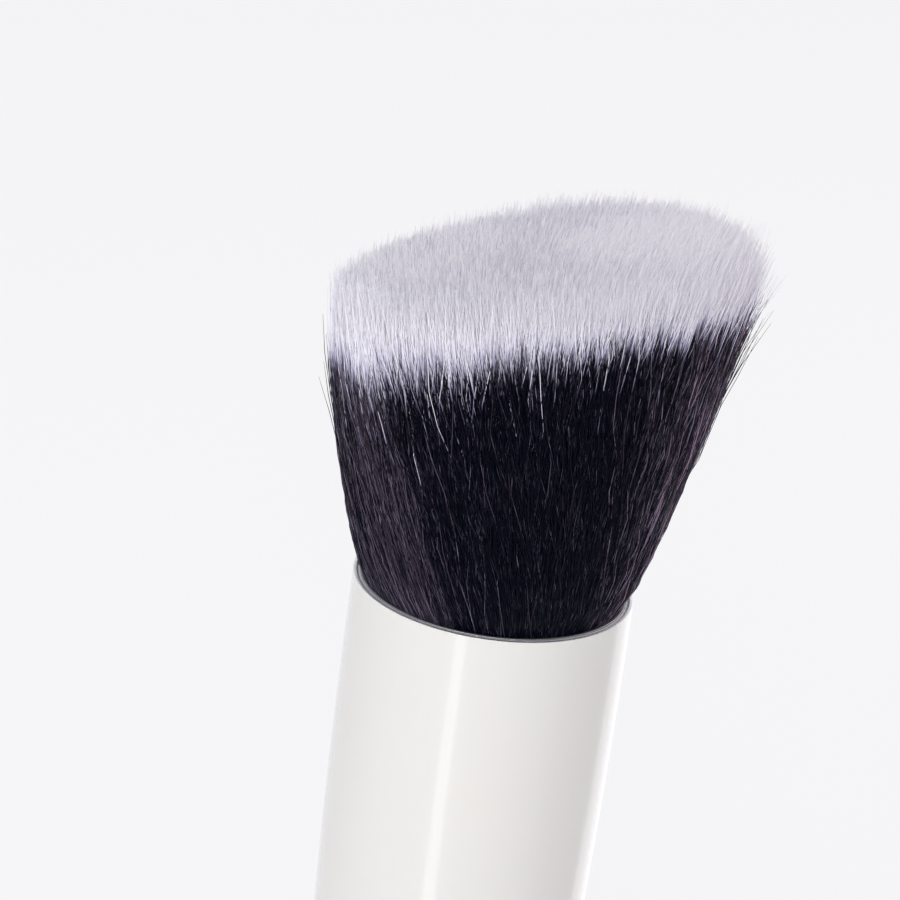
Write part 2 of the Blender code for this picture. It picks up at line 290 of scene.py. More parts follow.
# %% [markdown]
# ## The camera
# The portrait is taken from a little above, with the long side of the slanted tuft turned
# a little towards us. The rim of the ferrule is a circle, and its ellipse in the picture
# tells the camera's height and tilt. So the camera is placed from that circle: how far
# away, how high, how much it is turned and rolled, and at which pixel the rim's centre
# lies. An orthographic camera would be simpler, but the picture has a slight perspective.

# %% Place the camera from the rim of the ferrule
PICTURE_PIXELS = 900
RIM_CENTRE_PIXEL = (493.3, 582.0)
RIM_HALF_WIDTH_PIXELS = 141.0
CAMERA_DISTANCE = 0.350
CAMERA_TURN_DEGREES = 16.5
CAMERA_HEIGHT_DEGREES = 23.45
CAMERA_ROLL_DEGREES = 8.1
SENSOR_WIDTH = 36.0
RIM_RADIUS = 12.0 * MILLIMETRE


def direction(turn_degrees, rise_degrees):
    """The unit vector towards a place: (sin turn cos rise, -cos turn cos rise, sin rise)."""
    turn = math.radians(turn_degrees)
    rise = math.radians(rise_degrees)
    return Vector(
        (math.sin(turn) * math.cos(rise), -math.cos(turn) * math.cos(rise), math.sin(rise))
    )


def place_camera():
    """Aim so that the rim's centre falls on its pixel, and scale the lens to the rim's width."""
    turn = math.radians(CAMERA_TURN_DEGREES)
    roll = math.radians(CAMERA_ROLL_DEGREES)
    rim = Vector((0, 0, mouth_z))
    back = direction(CAMERA_TURN_DEGREES, CAMERA_HEIGHT_DEGREES)
    level = Vector((math.cos(turn), math.sin(turn), 0))
    upright = back.cross(level)
    right = level * math.cos(roll) + upright * math.sin(roll)
    up = upright * math.cos(roll) - level * math.sin(roll)
    focal_pixels = RIM_HALF_WIDTH_PIXELS * CAMERA_DISTANCE / RIM_RADIUS
    middle = PICTURE_PIXELS / 2
    aside = (RIM_CENTRE_PIXEL[0] - middle) / focal_pixels
    down = (RIM_CENTRE_PIXEL[1] - middle) / focal_pixels
    looking = (-back - right * aside + up * down).normalized()
    right = (right - looking * right.dot(looking)).normalized()
    up = right.cross(looking)
    data = bpy.data.cameras.new("portrait_camera")
    data.sensor_width = SENSOR_WIDTH
    data.lens = focal_pixels / PICTURE_PIXELS * SENSOR_WIDTH
    camera = bpy.data.objects.new("portrait_camera", data)
    facing = Matrix((right, up, -looking)).transposed().to_4x4()
    camera.matrix_world = Matrix.Translation(rim + back * CAMERA_DISTANCE) @ facing
    scene.collection.objects.link(camera)
    scene.camera = camera
    print(f"camera: lens {data.lens:.0f} mm, {CAMERA_DISTANCE / MILLIMETRE:.0f} mm from the rim")


place_camera()

# %% [markdown]
# ## Floor and light
# The brush stands in a white studio. The floor is a plain pale sheet that runs on past the
# picture. For the camera it is nearly white by its own colour, and it keeps the soft
# shadow. A wide soft light hangs in front, a cool and a warm strip stand at the sides, a
# panel hangs high at the back, and the sky is even and pale. The gloss of the body mirrors
# what is lower than itself, so the slim strip that draws its narrow highlight stands low
# and close, and so does the dim panel that brightens its right edge. Those two show in
# gloss only, and no lamp shows to the camera.

# %% Floor, sky and lamps
FLOOR_HALF_WIDTH = 3.0
FLOOR_COLOUR = (0.86, 0.86, 0.875)
FLOOR_SEEN_COLOUR = (0.99, 0.99, 1.0)
FLOOR_SEEN_SHARE = 0.78
SKY_SEEN_COLOUR = (0.975, 0.975, 0.99)
SKY_LIGHT_COLOUR = (0.95, 0.96, 1.0)
SKY_STRENGTH = 0.42
WHITE_LIGHT = (1, 1, 1)
COOL_LIGHT = (0.88, 0.92, 1.0)
WARM_LIGHT = (1.0, 0.70, 0.75)
HIGH_LIGHT = (0.96, 0.95, 1.0)


def lit_or_seen(finish, lit, seen, output, share=1.0):
    """Close a graph whose first shader lights the brush, and whose second is seen by share."""
    path = finish.node("ShaderNodeLightPath").outputs
    kinds = ("Is Camera Ray", "Is Glossy Ray", "Is Transmission Ray")
    camera, gloss, through = [Wire(finish, path[kind]) for kind in kinds]
    factor = camera.math("MAXIMUM", gloss).math("MAXIMUM", through) * share
    both = finish.add("ShaderNodeMixShader", {0: factor, 1: lit, 2: seen})
    return finish.close(both, output)


def make_floor():
    """A flat sheet under the brush, mostly shown in its own pale colour to the camera."""
    corners = FLOOR_HALF_WIDTH * np.array([[-1, -1, 0], [1, -1, 0], [1, 1, 0], [-1, 1, 0]])
    floor = mesh_from_arrays("floor", corners, [np.array([[0, 1, 2, 3]])])
    sheet = Finish("studio_floor")
    lit = sheet.add("ShaderNodeBsdfDiffuse", {"Color": (*FLOOR_COLOUR, 1)})
    seen = sheet.add("ShaderNodeEmission", {"Color": (*FLOOR_SEEN_COLOUR, 1)})
    pale = lit_or_seen(sheet, lit, seen, "ShaderNodeOutputMaterial", FLOOR_SEEN_SHARE)
    floor.data.materials.append(pale)
    floor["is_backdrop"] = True


def make_sky():
    """An even sky: one colour where it is seen, and a dimmer one that lights."""
    sky = Finish("studio_sky", bpy.data.worlds)
    light = {"Color": (*SKY_LIGHT_COLOUR, 1), "Strength": SKY_STRENGTH}
    lit = sky.add("ShaderNodeBackground", light)
    seen = sky.add("ShaderNodeBackground", {"Color": (*SKY_SEEN_COLOUR, 1)})
    scene.world = lit_or_seen(sky, lit, seen, "ShaderNodeOutputWorld")


def add_lamp(name, turn, rise, distance, size, radiance, colour=WHITE_LIGHT, roll=0, soft=True):
    """A flat lamp that faces the rim, placed by its angles in degrees from the camera's turn.

    Its power in watts is radiance times pi times area. A lamp that is not soft shows in
    gloss, but adds no light to matt surfaces.
    """
    data = bpy.data.lights.new(name, "AREA")
    data.shape = "RECTANGLE"
    data.size, data.size_y = size
    data.energy = radiance * math.pi * size[0] * size[1]
    data.color = colour
    lamp = bpy.data.objects.new(name, data)
    towards = direction(CAMERA_TURN_DEGREES + turn, rise)
    lamp.location = Vector((0, 0, mouth_z)) + towards * distance
    lamp.rotation_mode = "QUATERNION"
    facing = towards.to_track_quat("Z", "Y")
    lamp.rotation_quaternion = facing @ Quaternion((0, 0, 1), math.radians(roll))
    lamp.visible_camera = False
    lamp.visible_diffuse = soft
    scene.collection.objects.link(lamp)


make_floor()
make_sky()
add_lamp("key_front", -14, 17, distance=0.9, size=(0.7, 0.6), radiance=4.8)
add_lamp("side_left", -98, 8, distance=0.5, size=(0.10, 0.30), radiance=2.3, colour=COOL_LIGHT)
add_lamp("side_right", 128, 8, distance=0.5, size=(0.10, 0.30), radiance=4.4, colour=WARM_LIGHT)
add_lamp("panel_top", 138, 62, distance=0.9, size=(0.6, 0.6), radiance=1.5, colour=HIGH_LIGHT)
add_lamp(
    "strip_front", -17.2, -24, distance=0.075, size=(0.010, 0.07), radiance=1.5, roll=5, soft=False
)
add_lamp("panel_edge", 147, -24, distance=0.075, size=(0.062, 0.07), radiance=0.42, soft=False)
print("studio: floor, sky and", len(bpy.data.lights), "lamps")

# %% [markdown]
# ## White lacquer and the turned body
# The ferrule is a thin aluminium tube, sprayed white outside and left bare where it was
# cut. The lacquer is a glossy coat over a pale warm white, with a very faint unevenness
# that only shows in reflections. The outline is one shallow barrel over ferrule and
# handle. We could keep the solid's own faces, but a gloss shows every facet, so the same
# outline is turned again with more columns, and with softly rounded edges.

# %% Finishes of the body
LACQUER_COLOUR = (0.70, 0.687, 0.663)
LACQUER_WARMTH = (1.0, 0.985, 0.965)
PEEL_DEPTH = 0.0006 * MILLIMETRE
MARK_DEPTH = 0.004 * MILLIMETRE


def white_gloss(name):
    """Pale glossy lacquer: faint colour clouds and a faint orange peel under a clear coat."""
    paint = Finish(name)
    clouds = paint.noise(60.0)
    peel = paint.noise(900.0, 2.0)
    warm = [channel * shade for channel, shade in zip(LACQUER_COLOUR, LACQUER_WARMTH)]
    return paint.done(
        Base_Color=paint.mix(clouds, LACQUER_COLOUR, warm),
        Roughness=0.22 + clouds * 0.06,
        IOR=1.5,
        Coat_Weight=1.0,
        Coat_Roughness=0.09,
        Normal=paint.bump(peel, PEEL_DEPTH),
    )


def cut_metal(name, colour, rings_per_metre):
    """Bare metal with fine turning marks: a sine of the radius, broken by noise."""
    metal = Finish(name)
    x, y = metal.split(metal.spot())
    radius = (x * x + y * y) ** 0.5
    grain = metal.noise(2600.0, 4.0)
    marks = (radius * rings_per_metre * 2 * math.pi + grain * 6).math("SINE")
    specks = grain.step_between(0.60, 0.75)
    return metal.done(
        Base_Color=metal.mix(specks, colour, (0.93, 0.94, 0.96)),
        Metallic=1.0,
        Roughness=0.48 + marks * 0.06,
        Normal=metal.bump(marks, MARK_DEPTH),
    )


lacquer = white_gloss("white_lacquer")
handle_gloss = white_gloss("white_handle")
rim_metal = cut_metal("cut_rim", (0.93, 0.94, 0.97), 16000)

# %% The ferrule and the handle
WIDEST_Z = 62.3 * MILLIMETRE
FOOT_RADIUS = 9.5 * MILLIMETRE
FOOT_ROUND = 1.5 * MILLIMETRE
FERRULE_WALL = 0.32 * MILLIMETRE
TENON_WALL = 2 * MILLIMETRE
RIM_ROUND = 0.09 * MILLIMETRE
SEAM_ROUND = 0.12 * MILLIMETRE
SEAM_GAP = 0.3 * MILLIMETRE
BARREL_ROWS = 24


def barrel_radius(height):
    """r = widest - (widest - foot) * ((h - h_widest) / h_widest)^2, a shallow barrel."""
    return widest_radius - (widest_radius - FOOT_RADIUS) * ((height - WIDEST_Z) / WIDEST_Z) ** 2


def barrel_side(low, high):
    """Points of the barrel's outline between two heights."""
    heights = np.linspace(low, high, BARREL_ROWS)
    return np.stack([barrel_radius(heights), heights], -1)


def make_ferrule():
    """A closed ring outline: up the outer side, over the cut rim and down the inside."""
    outer = barrel_side(joint_z + SEAM_ROUND, mouth_z - RIM_ROUND)
    inner = outer - [FERRULE_WALL, 0]
    rim, seam = barrel_radius(mouth_z), barrel_radius(joint_z)
    top = [outer[-1], (rim, mouth_z), (rim - FERRULE_WALL, mouth_z), inner[-1]]
    low = [inner[0], (seam - FERRULE_WALL, joint_z), (seam, joint_z), outer[0]]
    top, low = rounded(top, RIM_ROUND), rounded(low, SEAM_ROUND)
    outline = np.concatenate([outer[:-1], top, inner[-2:0:-1], low[:-1]])
    piece = turned("ferrule_shell", outline, closed=True)
    placed(piece, lacquer, "lacquered_metal", "ferrule")
    piece.data.materials.append(rim_metal)
    centres = np.empty(len(piece.data.polygons) * 3)
    piece.data.polygons.foreach_get("center", centres)
    centres = centres.reshape(-1, 3)
    across = np.hypot(centres[:, 0], centres[:, 1])
    bare = across < barrel_radius(centres[:, 2]) - RIM_ROUND / 3
    piece.data.polygons.foreach_set("material_index", bare.astype(np.int32))
    piece.data.update()


def make_handle():
    """The handle's barrel, foot and shoulder, and its tenon and core inside the ferrule."""
    shoulder_z = joint_z - SEAM_GAP
    shoulder = barrel_radius(shoulder_z)
    tenon = barrel_radius(joint_z) - FERRULE_WALL - SEAM_GAP
    slug_low, slug_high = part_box("handle_weight")
    pocket = slug_high.x + SEAM_GAP
    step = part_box("weight_retainer")[1].x + SEAM_GAP
    floor_z = slug_low.z - SEAM_GAP
    side = barrel_side(foot_z + FOOT_ROUND, shoulder_z)[1:-1]
    foot = [(0, foot_z), (barrel_radius(foot_z), foot_z), side[0]]
    neck = [side[-1], (shoulder, shoulder_z), (tenon, shoulder_z), (tenon, tenon_top_z)]
    core = [(tenon - TENON_WALL, tenon_top_z), (step, slug_high.z), (pocket, slug_high.z)]
    upper = rounded([*neck, *core, (pocket, floor_z), (0, floor_z)], SEAM_ROUND)
    outline = np.concatenate([rounded(foot, FOOT_ROUND, steps=10)[:-1], side[:-1], upper])
    piece = sharpen(turned("handle_body", outline))
    placed(piece, handle_gloss, "handle_plastic", "handle_shell")


make_ferrule()
make_handle()

# %% [markdown]
# ## Cup and glue line
# Seen from above, the rim is two thin bright circles with a darker one between them: the
# ferrule's cut edge, a line of glue and the edge of the cup that holds the filaments. The
# glue sits a little lower than the metal, so that it reads as a fine dark groove.

# %% The knot cup and the glue between it and the ferrule
CUP_WALL = 0.27 * MILLIMETRE
CUP_FLOOR = 0.5 * MILLIMETRE
CUP_CORNER = 1.4 * MILLIMETRE
CUP_CORNER_STEPS = 8
GLUE_DROP = 0.10 * MILLIMETRE
GLUE_DEPTH = 4.0 * MILLIMETRE
GLUE_CLEARANCE = 0.02 * MILLIMETRE

cup_bore = cup_radius - CUP_WALL
cup_metal = cut_metal("drawn_cup", (0.33, 0.33, 0.36), 9000)


def make_cup():
    """Outside wall with a round bottom corner, the rounded lip, and the bore inside."""
    floor_z = cup_base_z + CUP_FLOOR
    lip_z = mouth_z - RIM_ROUND
    outside = [(0, cup_base_z), (cup_radius, cup_base_z), (cup_radius, lip_z)]
    lip = [(cup_radius, lip_z), (cup_radius, mouth_z), (cup_bore, mouth_z), (cup_bore, lip_z)]
    inside = [(cup_bore, lip_z), (cup_bore, floor_z), (0, floor_z)]
    outline = np.concatenate(
        [
            rounded(outside, CUP_CORNER, CUP_CORNER_STEPS)[:-1],
            rounded(lip, RIM_ROUND),
            rounded(inside, CUP_CORNER, CUP_CORNER_STEPS)[1:],
        ]
    )
    placed(turned("cup_shell", outline), cup_metal, "cup_metal", "knot_cup")


def make_glue():
    """A ring of hardened glue between cup and ferrule, with a slightly hollow top."""
    inner = cup_radius + GLUE_CLEARANCE
    outer = barrel_radius(mouth_z) - FERRULE_WALL - GLUE_CLEARANCE
    top = mouth_z - GLUE_DROP
    low = top - GLUE_DEPTH
    hollow = ((inner + outer) / 2, top - GLUE_DROP / 2)
    outline = [(outer, low), (outer, top), hollow, (inner, top), (inner, low)]
    resin = Finish("rim_glue")
    haze = resin.noise(1500.0)
    glue_colour = resin.mix(haze, (0.62, 0.62, 0.64), (0.88, 0.88, 0.90))
    finish = resin.done(Base_Color=glue_colour, Roughness=0.35)
    placed(sharpen(turned("glue_line", outline, closed=True)), finish, "resin")


make_cup()
make_glue()

# %% [markdown]
# ## The filaments
# Each filament is a slim three-sided tube that rises from the mouth, fans out and ends on
# a slanted, softly rounded surface. A particle system could grow them, but the shape of
# this tuft is a few formulas, and arrays let every filament know its own root, lean, length
# and colour. The whole bundle is turned a little about its axis, as a tied bundle is, and
# that makes the filaments in front lean to one side.

# %% The shape of the tuft
TUFT_HEIGHT = 30.7 * MILLIMETRE
TUFT_SLOPE = math.tan(math.radians(15.4))
EDGE_DROP = 2.8 * MILLIMETRE
EDGE_DROP_SKEW = 3.1 * MILLIMETRE
EDGE_DROP_SIDE = math.radians(80)
EDGE_POWER = 6.8
LOW_EDGE_POWER = 9.0
ROOT_REACH = 11.7 * MILLIMETRE
FAN_RATE = 0.291
FAN_BOW = 1.35
SQUEEZE_LENGTH = 1.1 * MILLIMETRE
MOUTH_CLEARANCE = 0.06 * MILLIMETRE
CUT_ROUNDS = 6

root_radius = cup_bore - MOUTH_CLEARANCE


def tuft_radius(height):
    """Outer radius at a height h above the mouth, in metres.

    It is reach + rate * h - bow * h^2, and near the mouth it is drawn in by
    (reach - root radius) * exp(-h / squeeze), where the cup holds the filaments together.
    """
    free = ROOT_REACH + FAN_RATE * height - FAN_BOW * height**2
    squeeze = np.exp(-np.maximum(height, 0) / SQUEEZE_LENGTH)
    return free - (ROOT_REACH - root_radius) * squeeze


def plane_height(across, around, height):
    """Height of the slanted cut over a filament: middle + reach * cos(angle) * slope."""
    return TUFT_HEIGHT + across * tuft_radius(height) * np.cos(around) * TUFT_SLOPE


def cut_height(across, around):
    """Height of a filament's tip: the slanted cut, less a drop that grows as across^power.

    The power is high, so the cut stays flat and only its edge is rounded, and on the low
    side it is higher still, which keeps that corner crisp. The drop is largest at the back
    and nearly nothing in front.

    The slope needs the filament's own reach at its tip, so it is found by repeating the
    sum a few times from the middle height.
    """
    height = np.full_like(across, TUFT_HEIGHT)
    drop = EDGE_DROP + EDGE_DROP_SKEW * np.cos(around - EDGE_DROP_SIDE)
    low_share = np.clip(-np.cos(around), 0, 1)
    drop = drop * across ** (EDGE_POWER + LOW_EDGE_POWER * low_share**3)
    for _ in range(CUT_ROUNDS):
        height = plane_height(across, around, height) - drop
    return height


tallest = cut_height(np.linspace(0, 1, 50), np.zeros(50)).max()
print(f"tuft: {tallest / MILLIMETRE:.1f} mm above the mouth at its highest")

# %% [markdown]
# ## The colours of a filament
# The real filaments are dyed black and left pale at their tips. Where the colour changes
# differs from one to the next, and that makes the ragged border. The colour depends on two
# numbers only, so they are stored as a UV map: U says which filament it is, as a tint from
# 0 to 1, and V says how far a point lies above that filament's own border. The finish
# reads the two numbers and mixes two ramps. Short light streaks in the dark part are
# painted highlights, glints that stand for the shine of single filaments. Just above the
# border the pale part is calm, and towards the very tips it differs from one filament to
# the next. That spread is partly the filaments' own tone and partly painted shade, for the
# shadowed gaps between the tips of the flat top. It also glows by a few hundredths, which
# stands for the light that wanders about inside the pale filaments.

# %% The finish of the filaments
V_BELOW = 36.0 * MILLIMETRE
V_SPAN = 54.0 * MILLIMETRE
V_MARGIN = 0.001
DARK_STOPS = [
    (0.0, (0.0012, 0.0016, 0.0070)),
    (0.50, (0.0022, 0.0021, 0.0090)),
    (0.72, (0.010, 0.008, 0.015)),
    (0.84, (0.054, 0.042, 0.064)),
    (0.93, (0.190, 0.148, 0.215)),
    (1.0, (0.560, 0.335, 0.460)),
]
# Colours of the tips. Their darker end is partly painted shade, for the shadowed gaps between the
# tips of the flat top.
TIP_STOPS_WITH_PAINTED_SHADE = [
    (0.0, (0.34, 0.33, 0.42)),
    (0.18, (0.74, 0.72, 0.82)),
    (0.42, (0.96, 0.94, 1.0)),
    (1.0, (0.98, 0.96, 1.0)),
]
CALM_COLOUR = (0.89, 0.87, 0.935)
FAINT_COLOURS = (0.25, 0.23, 0.37), (0.70, 0.67, 0.83)
# Colour of the painted glints: painted highlights on single dark filaments.
PAINTED_GLINT_COLOUR = (0.60, 0.58, 0.78)
GLOW_COLOUR = (1.0, 0.97, 1.0)
BLACK = (0.0, 0.0, 0.0)
GLINT_ACROSS = 240
GLINT_ALONG = 26
GLINT_SHARE = 0.07
GLINT_TINT_SHARE = 0.45
GLOW = 0.04


def v_of(above_border):
    """V for a distance above the border: 0 at 36 mm below it, and 1 at 18 mm above it."""
    return np.clip((above_border + V_BELOW) / V_SPAN, V_MARGIN, 1 - V_MARGIN)


def filament_finish():
    """Dark with painted glints below the border, then faint, calm and varied pale towards the tip.
    """
    dye = Finish("filament_dye")
    tint, along = dye.split(dye.add("ShaderNodeUVMap", uv_map="OFBake"))

    def past_border(low, high):
        """Rises from 0 to 1 between two distances above the border, in millimetres."""
        ends = [V_BELOW / V_SPAN + end * (MILLIMETRE / V_SPAN) for end in (low, high)]
        return along.step_between(*ends)

    # Painted glints: short light streaks in the dark colour that stand for the shine of single
    # filaments, stronger on the lighter tints.
    painted_glints = dye.flat_noise(tint * GLINT_ACROSS, along * GLINT_ALONG).step_between(0.62, 0.74)
    painted_glints = painted_glints * (GLINT_SHARE + GLINT_TINT_SHARE * tint * tint)
    dark = dye.mix(painted_glints, dye.ramp(tint, DARK_STOPS), PAINTED_GLINT_COLOUR)
    # The tip ramp is partly the filaments' own tone and partly painted shade on the flat top.
    pale = dye.mix(past_border(4.5, 6.5), CALM_COLOUR, dye.ramp(tint, TIP_STOPS_WITH_PAINTED_SHADE))
    faint = dye.mix(past_border(0, 1.3), *FAINT_COLOURS)
    young = dye.mix(past_border(0.7, 2.1), faint, pale)
    undyed = past_border(-0.6, 0.5)
    return dye.done(
        Base_Color=dye.mix(undyed, dark, young),
        Roughness=0.36 + undyed * 0.44,
        Specular_IOR_Level=0.07,
        Emission_Color=dye.mix(undyed, BLACK, GLOW_COLOUR),
        Emission_Strength=GLOW,
    )


filament_dye = filament_finish()

# %% [markdown]
# ## Growing the filaments
# A level is a share of the way from root to tip. At every level the filament has a centre
# and a thickness, and a triangle round the centre gives three points. Levels, corners and
# filaments make one big array, so tens of thousands of tubes are worked out in a moment.

# %% Tubes from centre lines
UV_STEP = 0.004


def tubes(name, centres, radii, spin, tints, along):
    """Closed three-sided tubes. centres is (n, levels, 3), radii and along are (n, levels).

    Corner k of level j lies at centre + radius * (cos a, sin a, 0), a = spin + 2 pi k / 3.
    The sides are quads between levels, and a triangle closes each end. U is the tint, plus
    a hair from corner to corner, and V is along.
    """
    count, levels = radii.shape
    angle = spin + np.arange(3) * 2 * np.pi / 3
    ring = np.stack([np.cos(angle), np.sin(angle), np.zeros_like(angle)], -1)
    points = centres[:, :, None] + radii[:, :, None, None] * ring[:, None]
    index = np.arange(count * levels * 3).reshape(count, levels, 3)
    low, high = index[:, :-1], index[:, 1:]
    sides = np.stack([low, np.roll(low, -1, 2), np.roll(high, -1, 2), high], -1)
    groups = [sides.reshape(-1, 4), index[:, 0, ::-1], index[:, -1]]

    u = tints * (1 - 3 * UV_STEP) + np.arange(4) * UV_STEP
    u_side = np.broadcast_to(u[:, None], (count, levels - 1, 4))
    here, after = u_side[..., :3], u_side[..., 1:]
    v_low, v_high = [
        np.broadcast_to(v[..., None], (count, levels - 1, 3)) for v in (along[:, :-1], along[:, 1:])
    ]
    corners = [(here, v_low), (after, v_low), (after, v_high), (here, v_high)]
    side_uvs = np.stack([np.stack(corner, -1) for corner in corners], -2)
    cap_shift = np.array([0, 0, UV_STEP])
    root_uvs = np.stack([u[:, :3], along[:, :1] + cap_shift], -1)
    tip_uvs = np.stack([u[:, :3], along[:, -1:] - cap_shift], -1)
    uvs = np.concatenate([part.reshape(-1, 2) for part in (side_uvs, root_uvs, tip_uvs)])
    return mesh_from_arrays(name, points.reshape(-1, 3), groups, uvs)


# %% [markdown]
# Neighbouring filaments cling together in small locks. So each filament looks up the lean
# of its lock in a grid of random numbers, and a second grid shifts where its colour
# changes. A coarser grid leans whole strands, as a comb does.

# %% Locks and combed strands
LOCK_SEED = 41
LOCK_SIZE = 0.55 * MILLIMETRE
LOCK_SHIFT = 0.16 * MILLIMETRE
LOCK_BORDER = 0.50 * MILLIMETRE
LOCK_GRID = 96
COMB_SIZE = 3.2 * MILLIMETRE
COMB_SHIFT = 0.7 * MILLIMETRE

lock_chance = np.random.default_rng(LOCK_SEED)
lock_lean = lock_chance.normal(size=(LOCK_GRID, LOCK_GRID, 2))
lock_border = lock_chance.normal(size=(LOCK_GRID, LOCK_GRID))
comb_lean = lock_chance.normal(size=(LOCK_GRID, LOCK_GRID))


def look_up(grid, spot, size):
    """The value of the grid's cell over each spot, for cells of one size."""
    cell = np.floor(spot / size).astype(int) + LOCK_GRID // 2
    return grid[cell[:, 0], cell[:, 1]]


def look_up_smooth(grid, spot, size):
    """The grid's value at each spot, blended from the four nearest cells by their shares."""
    place = spot / size + LOCK_GRID // 2
    x, y = np.floor(place).astype(int).T
    x_share, y_share = (place - np.floor(place)).T
    near = grid[x, y] * (1 - x_share) + grid[x + 1, y] * x_share
    far = grid[x, y + 1] * (1 - x_share) + grid[x + 1, y + 1] * x_share
    return near * (1 - y_share) + far * y_share


print(f"{LOCK_GRID * LOCK_GRID} locks and as many strands")

# %% [markdown]
# A filament stands in the mouth at a share of its radius, across, and at an angle, around.
# From here on an array holds a row for each filament, and one column or one for each level.
# Tips are loose at the edge of the cut, and looser at the back and at the right.

# %% Where the filaments end
ROOT_DEPTH = 1.6 * MILLIMETRE
RIGHT_SIDE = math.radians(16.5)
TWIST = math.radians(-20)
TWIST_SKEW = math.radians(10)
EDGE_SHARE_POWER = 8
TIP_SCATTER = 0.22 * MILLIMETRE
EDGE_SCATTER = 0.62 * MILLIMETRE
EDGE_SCATTER_SKEW = 0.7
EDGE_SCATTER_RIGHT = 1.2
STRAY_DROP_MILLIMETRES = (1.5, 5.5)


def right_of(around):
    """How far right in the picture an angle points, from -1 to 1, and with the left as 0."""
    rightwards = np.cos(around - RIGHT_SIDE)
    return rightwards, np.clip(rightwards, 0, 1)


def twist_of(around):
    """How far a filament turns about the axis from root to tip."""
    return TWIST + TWIST_SKEW * right_of(around)[0]


def tip_heights(across, around, chance, stray):
    """The cut's height, less looseness at the edge, and scattered by as much.

    Looseness goes with across^8. A stray's tip lies lower by some millimetres, and by a
    little more at the left.
    """
    rightwards, right_share = right_of(around)
    loose = 1 + EDGE_SCATTER_SKEW * np.sin(around - RIGHT_SIDE)
    loose = loose + EDGE_SCATTER_RIGHT * right_share**2
    loose = loose * EDGE_SCATTER * across**EDGE_SHARE_POWER
    scatter = chance.normal(size=across.shape) * (TIP_SCATTER + loose)
    drop = chance.uniform(*STRAY_DROP_MILLIMETRES, across.shape) + 1 - rightwards
    return cut_height(across, around) + scatter - loose - stray * drop * MILLIMETRE


def tip_spots(across, around, tips):
    """Where the tips lie in plan, as (n, 2)."""
    return np.concatenate([np.cos(around), np.sin(around)], 1) * (across * tuft_radius(tips))

# %% [markdown]
# On its way up a filament leans and waves a little by itself. The outer ones weave in and
# out of the surface, so that each shows for a stretch and then dips under the next. Strays
# stand off the side, and some tips at the edge splay out.

# %% The way from root to tip
FREE_LENGTH = 3 * MILLIMETRE
LOW_SIDE_TUCK = 1.9 * MILLIMETRE
RIGHT_TUCK = 1.6 * MILLIMETRE
STRAY_UNTUCKED = 0.6
STRAY_AWAY_MILLIMETRES = (0.1, 1.0)
STRAY_BOW = (1.6, 0.8)
WEAVE_DEPTH = 0.50 * MILLIMETRE
WAVE = 0.38 * MILLIMETRE
WAVE_LENGTH = 11.0 * MILLIMETRE
WAVE_SHARES = (0.75, 1.35)
EDGE_SPLAY = 0.30 * MILLIMETRE
RIGHT_SPLAY = 3.4
SPLAY_FROM = 1.1
TWIST_POWER = 1.5
OWN_SIDEWAYS = 1.8 * MILLIMETRE
OWN_OUTWARDS = 0.22 * MILLIMETRE
EDGE_HOLD = 0.8
TIP_BEND = 14.0 * MILLIMETRE
MIDDLE_BEND = 0.4


def distance_out(across, around, heights, rise, weave, chance, stray):
    """Distance from the axis: across times the fan's radius less a tuck, less the weave.

    The right side is drawn in by pull * across^3 * rise^3. Strays stand away by
    away * rise^3 * (a - b * rise), and tips at the edge splay by splay * rise^6.
    """
    edge = across**EDGE_SHARE_POWER
    right_share = right_of(around)[1]
    low_side = (1 - np.cos(around)) / 2
    tuck = LOW_SIDE_TUCK * low_side * rise**4 * (1 - stray * chance.random(across.shape))
    radius = across * (tuft_radius(heights) - tuck) - weave * (1 - rise**2)
    away = chance.uniform(*STRAY_AWAY_MILLIMETRES, across.shape) * MILLIMETRE
    radius = radius + stray * away * rise**3 * (STRAY_BOW[0] - STRAY_BOW[1] * rise)
    pull = RIGHT_TUCK * right_share**3 * (1 - STRAY_UNTUCKED * stray)
    radius = radius - pull * across**3 * rise**3
    splay = np.abs(chance.normal(size=across.shape)) - SPLAY_FROM
    splay = splay * EDGE_SPLAY * (1 + RIGHT_SPLAY * right_share**2)
    return radius + splay * edge**2 * rise**6


